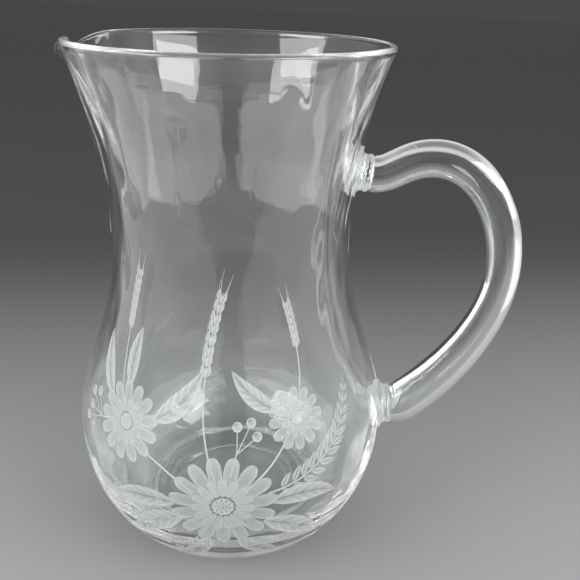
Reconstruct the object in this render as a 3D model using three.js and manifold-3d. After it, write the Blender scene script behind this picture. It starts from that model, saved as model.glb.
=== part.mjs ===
// A clear glass pitcher: a blown body with a pouring lip, and a solid rod handle stuck on by two welds.
// Millimetres, +Z up. The origin is the middle of the flat base. The handle points to +X and the lip to -X.
import * as THREE from "three";
import { mergeVertices } from "three/addons/utils/BufferGeometryUtils.js";
import Module from "manifold-3d";

// Body, outside
const HEIGHT = 230;
const FOOT_RADIUS = 42.3;
const BELLY_RADIUS = 73.9;
const BELLY_HEIGHT = 57.8;
const WAIST_RADIUS = 52.9;
const WAIST_HEIGHT = 156;
const RIM_RADIUS = 66.6;

// Body, glass thickness
const FLOOR_THICKNESS = 8.5;
const FLOOR_RADIUS = 40;
const BELLY_WALL = 4.6;
const WAIST_WALL = 5.7;
const RIM_WALL = 3.4;

// Body, how full each stretch of the wall is, as shares of that stretch's own width or height
const HEEL_SWELL = 0.42;
const HEEL_RISE = 0.03;
const BELLY_TUCK = 0.643;
const BELLY_SHOULDER = 0.294;
const WAIST_DRAW = 0.514;
const NECK_LENGTH = 0.476;
const FLARE_WIDTH = 0.363;
const FLARE_HEIGHT = 0.1655;

// Pouring lip: the top of the wall is bent outwards, and drawn in on both sides of the bend
const LIP_DEPTH = 20;
const LIP_HALF_ANGLE = THREE.MathUtils.degToRad(22);
const LIP_BEND = THREE.MathUtils.degToRad(68);
const LIP_PINCH = 2;

// Handle rod, along its middle line
const UPPER_WELD_HEIGHT = 179.7;
const LOWER_WELD_HEIGHT = 65;
const CROWN_RUN = 32.4;
const CROWN_RISE = 7.4;
const HANDLE_REACH = 120.5;
const REACH_HEIGHT = 139;
const KNEE_SLACK = 1.4;
const KNEE_SLOPE = THREE.MathUtils.degToRad(44);
const CROWN_DIAMETER = 15.7;
const GRIP_DIAMETER = 15.1;
const KNEE_DIAMETER = 19.2;

// Welds: a flared pad against the wall, a pinched collar, then the rod
const UPPER_FOOT_DIAMETER = 21.5;
const UPPER_NECK_DIAMETER = 15.4;
const UPPER_PAD_LENGTH = 3.2;
const UPPER_COLLAR_LENGTH = 2.2;
const LOWER_FOOT_DIAMETER = 23.5;
const LOWER_NECK_DIAMETER = 18.6;
const LOWER_PAD_LENGTH = 2.4;
const LOWER_COLLAR_LENGTH = 2.2;
const PAD_EDGE = 0.9;
const COLLAR_SWELL = 0.5;
const CLEARANCE = 0.3;

// Clear, colourless glass
const GLASS_ROUGHNESS = 0.03;
const GLASS_OPACITY = 0.35;
const BODY_TINT = 0xd8e0de;
const HANDLE_TINT = 0xdfe7e5;
const WELD_TINT = 0xe4ebe9;

// Facets
const BODY_SIDES = 60;
const ROD_SIDES = 20;
const STRETCH_STEPS = 10;
const WALL_STEPS = 7;
const RIM_STEPS = 4;
const FLARE_STEPS = 4;

// Curve handles, as shares of their stretch
const QUARTER_ARC = 0.5523;
const FALL_LEAVE = 0.35;
const FALL_ARRIVE = 0.28;

const X_AXIS = new THREE.Vector3(1, 0, 0);
const Y_AXIS = new THREE.Vector3(0, 1, 0);
const Z_AXIS = new THREE.Vector3(0, 0, 1);

const wasm = await Module();
wasm.setup();

function flat(radius, height) {
  return new THREE.Vector2(radius, height);
}

// The wall's line from floor to rim. It stands upright at the belly and at the waist.
function wallLine({ foot, floor, belly, waist, rim }) {
  const top = HEIGHT - RIM_WALL / 2;
  const heel = BELLY_HEIGHT - floor;
  const shoulder = WAIST_HEIGHT - BELLY_HEIGHT;
  const neck = top - WAIST_HEIGHT;
  return [
    new THREE.CubicBezierCurve(
      flat(foot, floor),
      flat(foot + HEEL_SWELL * (belly - foot), floor + HEEL_RISE * heel),
      flat(belly, BELLY_HEIGHT - BELLY_TUCK * heel),
      flat(belly, BELLY_HEIGHT),
    ),
    new THREE.CubicBezierCurve(
      flat(belly, BELLY_HEIGHT),
      flat(belly, BELLY_HEIGHT + BELLY_SHOULDER * shoulder),
      flat(waist, WAIST_HEIGHT - WAIST_DRAW * shoulder),
      flat(waist, WAIST_HEIGHT),
    ),
    new THREE.CubicBezierCurve(
      flat(waist, WAIST_HEIGHT),
      flat(waist, WAIST_HEIGHT + NECK_LENGTH * neck),
      flat(rim - FLARE_WIDTH * (rim - waist), top - FLARE_HEIGHT * neck),
      flat(rim, top),
    ),
  ];
}

function outerLine() {
  return wallLine({
    foot: FOOT_RADIUS,
    floor: 0,
    belly: BELLY_RADIUS,
    waist: WAIST_RADIUS,
    rim: RIM_RADIUS,
  });
}

function innerLine() {
  return wallLine({
    foot: FLOOR_RADIUS,
    floor: FLOOR_THICKNESS,
    belly: BELLY_RADIUS - BELLY_WALL,
    waist: WAIST_RADIUS - WAIST_WALL,
    rim: RIM_RADIUS - RIM_WALL,
  });
}

// The points of a line of stretches, with each shared end once.
function linePoints(stretches, steps) {
  return stretches.flatMap((stretch, i) => stretch.getPoints(steps).slice(i === 0 ? 0 : 1));
}

// The round top edge, from its outer to its inner side, without the two ends.
function rimPoints() {
  const half = RIM_WALL / 2;
  const points = [];
  for (let i = 1; i < RIM_STEPS; i += 1) {
    const turn = (Math.PI * i) / RIM_STEPS;
    points.push(flat(RIM_RADIUS - half + half * Math.cos(turn), HEIGHT - half + half * Math.sin(turn)));
  }
  return points;
}

// A profile turned about +Z, with a ridge towards +X and one towards -X.
function turned(profile, sides) {
  return new THREE.LatheGeometry(profile, sides).rotateX(Math.PI / 2);
}

// How far the wall is bent outwards at an angle from the lip's middle, as an angle.
function lipBend(turn) {
  const share = Math.min(turn / LIP_HALF_ANGLE, 1);
  return LIP_BEND * Math.cos((Math.PI / 2) * share) ** 2;
}

// How far the wall is drawn in at an angle from the lip's middle.
function lipPinch(turn) {
  const share = Math.min(turn / (2 * LIP_HALF_ANGLE), 1);
  return LIP_PINCH * Math.sin(Math.PI * share) ** 2;
}

// Rolls one point of the upper wall about the line where the lip starts.
function rolled(radius, rise, startRadius, bend) {
  if (bend < 1e-4) return flat(radius, rise);
  const rollRadius = LIP_DEPTH / bend;
  const angle = rise / rollRadius;
  const inset = rollRadius - (radius - startRadius);
  return flat(startRadius + rollRadius - inset * Math.cos(angle), inset * Math.sin(angle));
}

function shapeLip(geometry) {
  const start = HEIGHT - LIP_DEPTH;
  const startRadius = wallAt(start).radius;
  const spots = geometry.attributes.position;
  for (let i = 0; i < spots.count; i += 1) {
    const rise = spots.getZ(i) - start;
    if (rise > 0) {
      const azimuth = Math.atan2(spots.getY(i), spots.getX(i));
      const turn = Math.PI - Math.abs(azimuth);
      const drawn = lipPinch(turn) * (rise / LIP_DEPTH) ** 2;
      const radius = Math.hypot(spots.getX(i), spots.getY(i)) - drawn;
      const spot = rolled(radius, rise, startRadius, lipBend(turn));
      spots.setXYZ(i, spot.x * Math.cos(azimuth), spot.x * Math.sin(azimuth), start + spot.y);
    }
  }
  return geometry;
}

function bodyGeometry() {
  const outer = linePoints(outerLine(), WALL_STEPS);
  const inner = linePoints(innerLine(), WALL_STEPS).reverse();
  const profile = [flat(0, 0), ...outer, ...rimPoints(), ...inner, flat(0, FLOOR_THICKNESS)];
  return shapeLip(turned(profile, BODY_SIDES));
}

// The body without its hollow, grown by the clearance, to cut what lies against the wall.
function bodyEnvelope() {
  const outer = linePoints(outerLine(), WALL_STEPS);
  const grown = outer.map((spot) => flat(spot.x + CLEARANCE, spot.y));
  return turned([flat(0, 0), ...grown, flat(0, HEIGHT)], BODY_SIDES);
}

// The outer wall at a height: its radius, and how far its normal tilts up.
function wallAt(height) {
  const stretch = outerLine().find((curve) => curve.v3.y >= height);
  let low = 0;
  let high = 1;
  for (let i = 0; i < 40; i += 1) {
    const middle = (low + high) / 2;
    if (stretch.getPoint(middle).y < height) low = middle;
    else high = middle;
  }
  const along = stretch.getTangent(low);
  return { radius: stretch.getPoint(low).x, tilt: Math.atan2(-along.x, along.y) };
}

function toSolid(geometry) {
  const bare = geometry.clone();
  bare.deleteAttribute("normal");
  bare.deleteAttribute("uv");
  const merged = mergeVertices(bare);
  const vertProperties = merged.attributes.position.array;
  return new wasm.Manifold(new wasm.Mesh({ numProp: 3, vertProperties, triVerts: merged.index.array }));
}

function fromSolid(solid) {
  const mesh = solid.getMesh();
  const geometry = new THREE.BufferGeometry();
  geometry.setAttribute("position", new THREE.BufferAttribute(mesh.vertProperties, 3));
  geometry.setIndex(new THREE.BufferAttribute(mesh.triVerts, 1));
  geometry.computeVertexNormals();
  return geometry;
}

// A weld's own frame: +X is the wall's outward normal, and the wall's face is at 0.
function weldFrame(height) {
  const wall = wallAt(height);
  const frame = new THREE.Group();
  frame.position.set(wall.radius, 0, height);
  frame.rotation.y = -wall.tilt;
  frame.updateMatrix();
  return frame;
}

// A profile of radius and distance along +X, turned about +X.
function spindle(profile) {
  return new THREE.LatheGeometry(profile, ROD_SIDES).rotateZ(-Math.PI / 2);
}

// A pad that flares from its neck to its foot, cut to the wall behind it.
function padGeometry(frame, { foot, neck, length }) {
  const sunk = foot / 2;
  const flare = new THREE.QuadraticBezierCurve(
    flat(foot, PAD_EDGE),
    flat(neck, PAD_EDGE),
    flat(neck, length),
  );
  const profile = [flat(0, -sunk), flat(foot, -sunk), ...flare.getPoints(FLARE_STEPS), flat(0, length)];
  const wall = bodyEnvelope().applyMatrix4(frame.matrix.clone().invert());
  return fromSolid(toSolid(spindle(profile)).subtract(toSolid(wall)));
}

// A short ring that swells in its middle.
function collarGeometry({ neck, padLength, length }) {
  const near = padLength + CLEARANCE;
  const far = near + length;
  const swell = new THREE.QuadraticBezierCurve(
    flat(neck, near),
    flat(neck + 2 * COLLAR_SWELL, (near + far) / 2),
    flat(neck, far),
  );
  return spindle([flat(0, near), ...swell.getPoints(FLARE_STEPS), flat(0, far)]);
}

// Where the rod starts on a weld, and which way it leaves.
function rodEnd(height, padLength, collarLength) {
  const frame = weldFrame(height);
  const start = padLength + collarLength + 2 * CLEARANCE;
  const leave = X_AXIS.clone().applyQuaternion(frame.quaternion);
  return { point: X_AXIS.clone().multiplyScalar(start).applyMatrix4(frame.matrix), leave };
}

// A curve from one point to another that leaves and arrives along given directions.
function sweep(from, leave, leaveLength, to, arrive, arriveLength) {
  return new THREE.CubicBezierCurve3(
    from,
    from.clone().addScaledVector(leave, leaveLength),
    to.clone().addScaledVector(arrive, -arriveLength),
    to,
  );
}

// Where the rod's last bend starts: it turns from the knee's slope to the lower weld's own direction.
function kneePoint(end) {
  const bend = KNEE_DIAMETER / 2 + KNEE_SLACK;
  const overhead = end.leave.clone().applyAxisAngle(Y_AXIS, -Math.PI / 2);
  const below = new THREE.Vector3(Math.sin(KNEE_SLOPE), 0, -Math.cos(KNEE_SLOPE));
  return end.point.clone().addScaledVector(overhead, bend).addScaledVector(below, bend);
}

// The rod's middle line in four stretches, each with its diameters at both ends.
function rodStretches() {
  const upper = rodEnd(UPPER_WELD_HEIGHT, UPPER_PAD_LENGTH, UPPER_COLLAR_LENGTH);
  const lower = rodEnd(LOWER_WELD_HEIGHT, LOWER_PAD_LENGTH, LOWER_COLLAR_LENGTH);
  const upperWall = wallAt(UPPER_WELD_HEIGHT).radius;
  const crown = new THREE.Vector3(upperWall + CROWN_RUN, 0, UPPER_WELD_HEIGHT + CROWN_RISE);
  const reach = new THREE.Vector3(HANDLE_REACH, 0, REACH_HEIGHT);
  const knee = kneePoint(lower);
  const down = Z_AXIS.clone().negate();
  const inward = new THREE.Vector3(-Math.cos(KNEE_SLOPE), 0, -Math.sin(KNEE_SLOPE));
  const rootGap = crown.x - upper.point.x;
  const bowWidth = QUARTER_ARC * (reach.x - crown.x);
  const bowHeight = QUARTER_ARC * (crown.z - reach.z);
  const fall = reach.distanceTo(knee);
  const tail = knee.distanceTo(lower.point) / 3;
  return [
    {
      line: sweep(upper.point, upper.leave, rootGap / 3, crown, X_AXIS, rootGap / 2),
      diameters: [UPPER_NECK_DIAMETER, CROWN_DIAMETER],
    },
    {
      line: sweep(crown, X_AXIS, bowWidth, reach, down, bowHeight),
      diameters: [CROWN_DIAMETER, GRIP_DIAMETER],
    },
    {
      line: sweep(reach, down, FALL_LEAVE * fall, knee, inward, FALL_ARRIVE * fall),
      diameters: [GRIP_DIAMETER, KNEE_DIAMETER],
    },
    {
      line: sweep(knee, inward, tail, lower.point, lower.leave.clone().negate(), tail),
      diameters: [KNEE_DIAMETER, LOWER_NECK_DIAMETER],
    },
  ];
}

// A plain cylinder bent along the rod's middle line and given its thickness at each step.
function rodGeometry() {
  const stretches = rodStretches();
  const steps = STRETCH_STEPS * stretches.length;
  const geometry = new THREE.CylinderGeometry(1, 1, 1, ROD_SIDES, steps);
  const spots = geometry.attributes.position;
  const spot = new THREE.Vector3();
  for (let i = 0; i < spots.count; i += 1) {
    spot.fromBufferAttribute(spots, i);
    const along = (spot.y + 0.5) * stretches.length;
    const { line, diameters } = stretches[Math.min(Math.floor(along), stretches.length - 1)];
    const share = Math.min(along - stretches.findIndex((stretch) => stretch.line === line), 1);
    const eased = THREE.MathUtils.smoothstep(share, 0, 1);
    const radius = THREE.MathUtils.lerp(diameters[0], diameters[1], eased) / 2;
    const forward = line.getTangent(share);
    const upward = forward.clone().cross(Y_AXIS);
    const placed = line.getPoint(share);
    placed.addScaledVector(upward, radius * spot.x);
    placed.addScaledVector(Y_AXIS, radius * spot.z);
    spots.setXYZ(i, placed.x, placed.y, placed.z);
  }
  geometry.computeVertexNormals();
  return geometry;
}

function glass(color) {
  return new THREE.MeshStandardMaterial({
    color,
    roughness: GLASS_ROUGHNESS,
    metalness: 0,
    transparent: true,
    opacity: GLASS_OPACITY,
  });
}

function piece(name, geometry, color) {
  const mesh = new THREE.Mesh(geometry, glass(color));
  mesh.name = name;
  return mesh;
}

// The pad and the collar of one weld, in that weld's frame.
function weld(name, height, { foot, neck, padLength, collarLength }) {
  const frame = weldFrame(height);
  const pad = padGeometry(frame, { foot: foot / 2, neck: neck / 2, length: padLength });
  const collar = collarGeometry({ neck: neck / 2, padLength, length: collarLength });
  frame.add(piece(`${name}_weld_pad`, pad, WELD_TINT));
  frame.add(piece(`${name}_weld_collar`, collar, WELD_TINT));
  return frame;
}

function handleAssembly() {
  const group = new THREE.Group();
  group.add(piece("handle", rodGeometry(), HANDLE_TINT));
  group.add(
    weld("upper", UPPER_WELD_HEIGHT, {
      foot: UPPER_FOOT_DIAMETER,
      neck: UPPER_NECK_DIAMETER,
      padLength: UPPER_PAD_LENGTH,
      collarLength: UPPER_COLLAR_LENGTH,
    }),
  );
  group.add(
    weld("lower", LOWER_WELD_HEIGHT, {
      foot: LOWER_FOOT_DIAMETER,
      neck: LOWER_NECK_DIAMETER,
      padLength: LOWER_PAD_LENGTH,
      collarLength: LOWER_COLLAR_LENGTH,
    }),
  );
  return group;
}

const pitcher = new THREE.Group();
pitcher.add(piece("body", bodyGeometry(), BODY_TINT));
pitcher.add(handleAssembly());

export default pitcher;
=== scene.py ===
import math
import bpy
import numpy as np
from collections import namedtuple
from mathutils import Matrix, Vector


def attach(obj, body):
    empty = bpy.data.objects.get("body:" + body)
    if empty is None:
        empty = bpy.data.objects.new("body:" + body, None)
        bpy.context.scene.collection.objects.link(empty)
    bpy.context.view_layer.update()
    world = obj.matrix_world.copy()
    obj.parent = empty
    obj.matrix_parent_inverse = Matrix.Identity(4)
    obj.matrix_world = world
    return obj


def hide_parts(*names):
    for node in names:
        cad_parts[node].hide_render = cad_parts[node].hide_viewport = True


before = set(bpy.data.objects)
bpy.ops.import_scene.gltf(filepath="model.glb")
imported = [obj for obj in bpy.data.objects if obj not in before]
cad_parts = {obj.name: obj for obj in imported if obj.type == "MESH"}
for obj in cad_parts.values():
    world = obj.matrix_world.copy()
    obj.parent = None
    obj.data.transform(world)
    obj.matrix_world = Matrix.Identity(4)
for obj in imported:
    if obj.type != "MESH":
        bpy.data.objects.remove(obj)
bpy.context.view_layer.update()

# A clear glass pitcher: a blown body with a lip, a solid rod for a handle, two welds and an etched spray
MM = 0.001

# Body, the same lengths as the frame's, in millimetres
HEIGHT = 230
FOOT_RADIUS = 42.3
BELLY_RADIUS = 73.9
BELLY_HEIGHT = 57.8
WAIST_RADIUS = 52.9
WAIST_HEIGHT = 156
RIM_RADIUS = 66.6
FLOOR_THICKNESS = 8.5
FLOOR_RADIUS = 40
BELLY_WALL = 4.6
WAIST_WALL = 5.7
RIM_WALL = 3.4

# How full each stretch of the wall is, as shares of that stretch
HEEL_SWELL = 0.42
HEEL_RISE = 0.03
BELLY_TUCK = 0.643
BELLY_SHOULDER = 0.294
WAIST_DRAW = 0.514
NECK_LENGTH = 0.476
FLARE_WIDTH = 0.363
FLARE_HEIGHT = 0.1655

# Foot and floor of the body
BASE_KICK = 2.0
KICK_EDGE = 1.4
KICK_RADIUS = 24
FOOT_INNER = 38
FOOT_FLAT = 40.5
FOOT_ROUND = 0.05
DISH_RADIUS = 39.2
DISH_ROUND = 0.135

# Bead round the floor: its crest, the grooves beside it, and how far both spread from the crest
BEAD_RADIUS = 42.4
BEAD_RISE = 2.2
BEAD_GROOVE = 1.4
BEAD_CROWN = 1
BEAD_OUTSIDE = 1.6
BEAD_INSIDE = 1.4

# Ripples of the inner wall, each as its depth in millimetres, its waves round the body,
# and how far it turns for each millimetre of height
RIPPLES = (
    (0.14, 3, 0.021),
    (0.1, 5, -0.034),
    (0.06, 8, 0.052),
    (0.05, 17, 0.11),
    (0.04, 26, -0.16),
    (0.018, 38, 0.05),
)
RIPPLE_EASE = 12

# Pouring lip
LIP_DEPTH = 20
LIP_HALF_ANGLE = math.radians(22)
LIP_BEND = math.radians(68)
LIP_PINCH = 2
LEAST_BEND = 1e-4

# Handle rod
CROWN_RUN = 32.4
CROWN_RISE = 7.4
HANDLE_REACH = 120.5
REACH_HEIGHT = 139
KNEE_SLACK = 1.4
KNEE_SLOPE = math.radians(44)
CROWN_DIAMETER = 15.7
GRIP_DIAMETER = 15.1
KNEE_DIAMETER = 19.2
QUARTER_ARC = 0.5523
FALL_LEAVE = 0.35
FALL_ARRIVE = 0.28
ROD_END_ROUND = 1.0

# Welds, each as its height on the wall, the radii of its foot and neck, and its two lengths
Weld = namedtuple("Weld", "height foot neck pad collar")
UPPER_WELD = Weld(height=179.7, foot=21.5 / 2, neck=15.4 / 2, pad=3.2, collar=2.2)
LOWER_WELD = Weld(height=65, foot=23.5 / 2, neck=18.6 / 2, pad=2.4, collar=2.2)
PAD_EDGE = 0.9
PAD_BULGE = 0.1
PAD_UNDERCUT = 0.35
PAD_UNDERSIDE = 0.985
PAD_FACE = 0.92
COLLAR_SWELL = 0.5
COLLAR_DIP = 0.25
COLLAR_ENDS = (0.3, 0.6, 0.85)
CLEARANCE = 0.3
SEAM = 0.06

# Lumps round the welds, each as its share of the radius, its count and where it starts
PAD_LUMPS = ((0.018, 3, 0.6), (0.012, 5, 2.1))
COLLAR_LUMPS = ((0.008, 4, 1.2),)

# Etched ornament, in thin films on the wall. Frost goes from 0 for clear to 1 for white.
ETCHING_MIDDLE = math.radians(-90)
FILM = 0.03
FILM_GAP = 0.02
THINNEST = 0.06
LEAST_FROST = 0.02

# Etched leaves
LEAF_STEPS = 28
LEAF_ACROSS = 13
LEAF_ROUND = 0.85
LEAF_FORWARD = 0.8
LEAF_FROST = 0.34
LEAF_EDGE = 0.34
LEAF_EDGE_POWER = 1.6
VEINS = 6.5
VEIN_SLANT = 1.4
VEIN_FROST = 0.2
RIB_WIDTH = 0.1
RIB_CLEAR = 0.85

# Etched daisies, with shares of a petal's length, and then of a flower's radius
PETAL_STEPS = 18
PETAL_ACROSS = 13
PETAL_ROOT = 0.34
PETAL_BROAD = 0.68
PETAL_TIP = 0.72
PETAL_TIP_LENGTH = 0.285
PETAL_FROST = 0.4
PETAL_EDGE = 0.3
PETAL_ENDS = 0.22
PETAL_STRIPES = 5
STRIPE_DEPTH = 0.2
STRIPE_FADE = 0.6
PETAL_RING = 0.72
PETAL_ROOM = 0.9
LONG_START = 0.24
SHORT_START = 0.22
SHORT_END = 0.58
SHORT_WIDTH = 0.62
HEAD_RADIUS = 0.2
DISC_START = 0.04
SEED_RINGS = 3
SEED_SPOKES = 9
SEED_FROST = 0.55
SEED_DOTS = 0.4
SEED_EDGE = 0.25

# Etched lines and ferns, with the widths of a stalk at both ends
LINE_ACROSS = 5
LINE_FROST = 0.82
LINE_EDGE = 0.2
CURVE_STEPS = 100
FERN_STALK = (0.9, 0.3)
FERN_START = 0.08
FERN_RUN = 0.9
FERN_LEAST = 0.35
FERN_RISE = 0.25
FERN_SPREAD = 58
FERN_CLOSING = 18
FERN_GAP = 0.7
FERN_BEND = 0.18
FERN_BOW = 0.55
FERN_WIDTH = 0.34

# Etched corn ears
EAR_STALK = (0.8, 0.5)
EAR_START = 0.55
EAR_RUN = 0.45
EAR_SPREAD = math.radians(24)
EAR_GAP = 0.6
CORN_STEPS = 12
CORN_ACROSS = 7
CORN_WIDTH = 0.2
CORN_FORWARD = 0.85
CORN_BOW = 0.25
CORN_BEND = 0.2
CORN_FROST = 0.42
CORN_EDGE = 0.4
CORN_TIP = 0.2
BEARD = (0.32, 0.12)
BEARD_BOW = 0.15
BEARD_BOW_LENGTH = 0.6
BEARD_BEND = 0.3
BEARD_LENGTH = 1.3
SHORT_STEPS = 8

# Etched berries
BERRY_RADIUS = 2.2
BERRY_SEAT = 2.1
BERRY_FAN = math.radians(26)
BERRY_NEAR = 0.75
BERRY_STALK = (0.5, 0.4)
BERRY_FROST = 0.48
BERRY_EDGE = 0.42
GLEAM_PLACE = 0.55
GLEAM_WIDTH = 0.22
GLEAM_TURN = 2.2
GLEAM_CLEAR = 0.9

# Ground glass, with the shares of light that it scatters on and that its grain leaves at least
FROST_THIN = (0.76, 0.775, 0.775)
FROST_DEEP = (0.93, 0.945, 0.945)
FROST_THROUGH = 0.22
FROST_ROUGHNESS = 0.7
FROST_IOR = 1.3
GRAIN_SCALE = 2600
GRAIN_DETAIL = 3
GRAIN_SPAN = (0.35, 0.65)
GRAIN_LEAST = 0.72

# Painted highlight on the bead: a white line of frost along its crest that stands for the bright line of
# light on it; its frost, how much more it has at its edges, and its streaks, each as its depth, its
# count round the floor and where it starts
BEAD_HIGHLIGHT_FROST = 0.72
BEAD_HIGHLIGHT_EDGE = 0.2
BEAD_HIGHLIGHT_STREAKS = ((0.16, 7, 0), (0.12, 19, 1), (0.1, 43, 2))

# Glass
GLASS_IOR = 1.52
CLEAR_TINTS = ((0.972, 0.984, 0.98), (0.986, 0.992, 0.99))
WELD_TINTS = ((0.955, 0.975, 0.968), (0.985, 0.992, 0.99))
SHADOW_PASS = (0.88, 0.9, 0.9)
WAVE_DETAIL = 2
CORD_DETAIL = 3
WEAR_SCALE = 420
WEAR_DETAIL = 4
WEAR_SPAN = (0.55, 0.8)
WEAR_ROUGHNESS = 0.05

# Mesh steps
BODY_SIDES = 320
WALL_STEPS = 44
RIM_STEPS = 14
FOOT_STEPS = 8
DOME_STEPS = 16
KICK_STEPS = 12
BASE_STEPS = 3
FLOOR_STEPS = 12
BEAD_STEPS = 10
BEAD_HIGHLIGHT_STEPS = 5
ROD_SIDES = 64
ROD_STEPS = 48
PAD_UNDER_STEPS = 11
PAD_EDGE_STEPS = 4
PAD_FLARE_STEPS = 16
PAD_FACE_STEPS = 8
COLLAR_STEPS = 14
TABLE_STEPS = 400

# Camera
LENS = 40.26
SENSOR = 36
CAMERA_DISTANCE = 0.2783
CAMERA_HEIGHT = 0.2488
CAMERA_SIDE = math.radians(13)
CAMERA_YAW = math.radians(5.59)
CAMERA_PITCH = math.radians(24.93)
CAMERA_ROLL = math.radians(1.85)
CLIP_START = 0.01

# Studio
FLOOR_PALE = (0.37, 0.374, 0.379)
# The grey that the floor turns to behind the pitcher is painted shade, as if the light fell off there
FLOOR_SHADE_GREY = (0.055, 0.056, 0.0575)
FLOOR_NEAR = -0.15
FLOOR_FAR = 0.45
FLOOR_REACH = 8
FLOOR_DROP = 0.0003
FLOOR_ROUGHNESS = 0.9
LOW_FRONT = 0.18
LOW_BACK = 0.068
OVERHEAD = 0.25
RING_GLOW = 0.45
SIDE_GLOW = 0.45
DAYLIGHT = (0.99, 1.0, 1.01)
LAMP_AIM = 0.12
SOFTBOX_DISTANCE = 1.3
SOFTBOX_HEIGHT = 0.6
SOFTBOX_RADIANCE = 7.2
SOFTBOX_AGAIN = 0.35
CARD_HEIGHT = 0.34
ONE_WALL = 2
TWO_WALLS = 4
BOUNCES = 128
CLEAR_BOUNCES = 64
BACKWARD = (-math.sin(CAMERA_SIDE), math.cos(CAMERA_SIDE), 0)
SIDEWARD = (math.cos(CAMERA_SIDE), math.sin(CAMERA_SIDE), 0)

# Where each part of the world's light starts and ends, as how far a direction points
# up, backward or sideward
SKY_RISE = (0.1, 0.35)
RING_FADE = (0.5, 0.9)
HORIZON_TURN = (-0.4, 0.4)
GLOW_ASIDE = (0.1, 0.4)
GLOW_BEHIND = (-0.1, 0.35)
GLOW_RISE = (-0.01, 0.05)
GLOW_FADE = (0.4, 0.7)


def bezier(control, steps):
    """Points of a Bezier curve with any number of control points."""
    t = np.linspace(0, 1, steps + 1)[:, None]
    row = [np.ones_like(t) * np.asarray(p, float) for p in control]
    while len(row) > 1:
        row = [a * (1 - t) + b * t for a, b in zip(row, row[1:])]
    return row[0]


def wall_line(foot, floor, belly, waist, rim):
    """Control points of the wall's three stretches, as radius and height."""
    top = HEIGHT - RIM_WALL / 2
    heel = BELLY_HEIGHT - floor
    shoulder = WAIST_HEIGHT - BELLY_HEIGHT
    neck = top - WAIST_HEIGHT
    return [
        [
            (foot, floor),
            (foot + HEEL_SWELL * (belly - foot), floor + HEEL_RISE * heel),
            (belly, BELLY_HEIGHT - BELLY_TUCK * heel),
            (belly, BELLY_HEIGHT),
        ],
        [
            (belly, BELLY_HEIGHT),
            (belly, BELLY_HEIGHT + BELLY_SHOULDER * shoulder),
            (waist, WAIST_HEIGHT - WAIST_DRAW * shoulder),
            (waist, WAIST_HEIGHT),
        ],
        [
            (waist, WAIST_HEIGHT),
            (waist, WAIST_HEIGHT + NECK_LENGTH * neck),
            (rim - FLARE_WIDTH * (rim - waist), top - FLARE_HEIGHT * neck),
            (rim, top),
        ],
    ]


def joined(stretches, steps):
    """Points of a line of stretches, with each shared end once."""
    parts = [bezier(stretch, steps) for stretch in stretches]
    return np.vstack([parts[0]] + [part[1:] for part in parts[1:]])


OUTER = wall_line(FOOT_RADIUS, 0, BELLY_RADIUS, WAIST_RADIUS, RIM_RADIUS)
INNER = wall_line(
    FLOOR_RADIUS,
    FLOOR_THICKNESS,
    BELLY_RADIUS - BELLY_WALL,
    WAIST_RADIUS - WAIST_WALL,
    RIM_RADIUS - RIM_WALL,
)

# Tables of the wall: points outside and inside, how far it runs from the foot, and how its normal leans
WALL_TABLE = joined(OUTER, TABLE_STEPS)
INNER_TABLE = joined(INNER, TABLE_STEPS)
WALL_STEP = np.diff(WALL_TABLE, axis=0)
WALL_RUN = np.concatenate([[0], np.cumsum(np.hypot(WALL_STEP[:, 0], WALL_STEP[:, 1]))])
WALL_LEAN = np.arctan2(-np.gradient(WALL_TABLE[:, 0]), np.gradient(WALL_TABLE[:, 1]))
BELLY_RUN = np.interp(BELLY_HEIGHT, WALL_TABLE[:, 1], WALL_RUN)


def wall_radius(height):
    return np.interp(height, WALL_TABLE[:, 1], WALL_TABLE[:, 0])


def wall_tilt(height):
    """How far the outer wall's normal tilts up at a height."""
    step = 0.05
    slope = (wall_radius(height + step) - wall_radius(height - step)) / (2 * step)
    return math.atan2(-slope, 1)


def round_angles(sides):
    """Even angles once round."""
    return 2 * math.pi * np.arange(sides) / sides


def round_points(radius, azimuth, height):
    """Points from their distances from +Z, their angles round it and their heights."""
    spots = np.broadcast_arrays(radius * np.cos(azimuth), radius * np.sin(azimuth), height)
    return np.stack(spots, axis=-1)


def directions(line):
    """The way that a line points at each of its points."""
    along = np.gradient(line, axis=0)
    return along / np.linalg.norm(along, axis=1)[:, None]


def round_waves(angles, waves):
    """The sum of waves once round, each as its depth, its count and where it starts."""
    return sum(depth * np.sin(count * angles + start) for depth, count, start in waves)


def add_object(name, data):
    """A new object in the scene."""
    thing = bpy.data.objects.new(name, data)
    bpy.context.scene.collection.objects.link(thing)
    return thing


def make_mesh(name, points, faces):
    """A smooth mesh object from points in millimetres."""
    mesh = bpy.data.meshes.new(name)
    mesh.from_pydata((np.asarray(points) * MM).tolist(), [], faces)
    mesh.polygons.foreach_set("use_smooth", [True] * len(mesh.polygons))
    mesh.update()
    return add_object(name, mesh)


def set_flow(piece, flow):
    """Keeps where each point was in the glass before it was bent: across it, and along the draw."""
    kept = piece.data.attributes.new("flow", "FLOAT_VECTOR", "POINT")
    kept.data.foreach_set("vector", (np.asarray(flow) * MM).astype(np.float32).ravel())
    return piece


def set_frost(piece, frost):
    """Keeps how deep each point is ground."""
    kept = piece.data.attributes.new("frost", "FLOAT", "POINT")
    kept.data.foreach_set("value", frost.astype(np.float32).ravel())
    return piece


def tube_faces(rows, sides):
    """Faces of rings in rows, with one point before the first ring and one after the last."""
    faces = []
    last = 1 + rows * sides
    for j in range(sides):
        k = (j + 1) % sides
        faces.append((0, 1 + k, 1 + j))
        faces.append((last, last - sides + j, last - sides + k))
        for i in range(rows - 1):
            low = 1 + i * sides
            high = low + sides
            faces.append((low + j, low + k, high + k, high + j))
    return faces


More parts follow.
